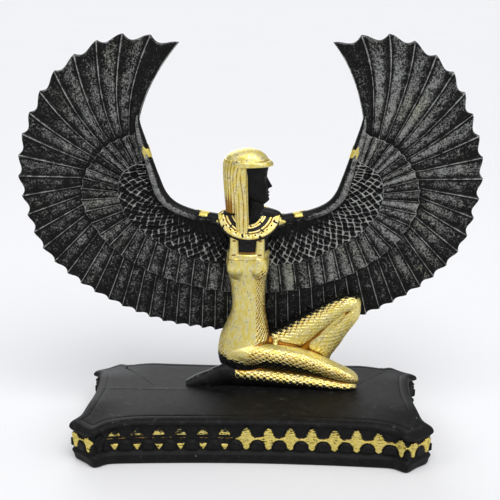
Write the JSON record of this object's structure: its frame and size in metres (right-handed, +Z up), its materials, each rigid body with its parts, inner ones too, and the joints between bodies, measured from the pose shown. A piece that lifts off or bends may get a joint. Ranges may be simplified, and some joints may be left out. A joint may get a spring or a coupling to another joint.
{
  "type": "egyptian goddess aquarium ornament",
  "caption": "Kneeling winged goddess with raised, outspread wings, cast in one piece with a low eared plinth, as an aquarium or shelf ornament.",
  "frame": {"origin": "centre of the plinth's flat underside", "axes": "+X to the viewer's right, the way the head and knees point, along the wings' span; +Y to the back; +Z up"},
  "size_m": [0.1967, 0.075, 0.1681],
  "materials": {
    "painted_resin": "satin black paint with dry-brushed silver grey feathers and bright gold paint on the wig, collar, dress and frieze"
  },
  "bodies": {
    "root": {"winged_goddess_ornament": "painted_resin"}
  },
  "joints": []
}
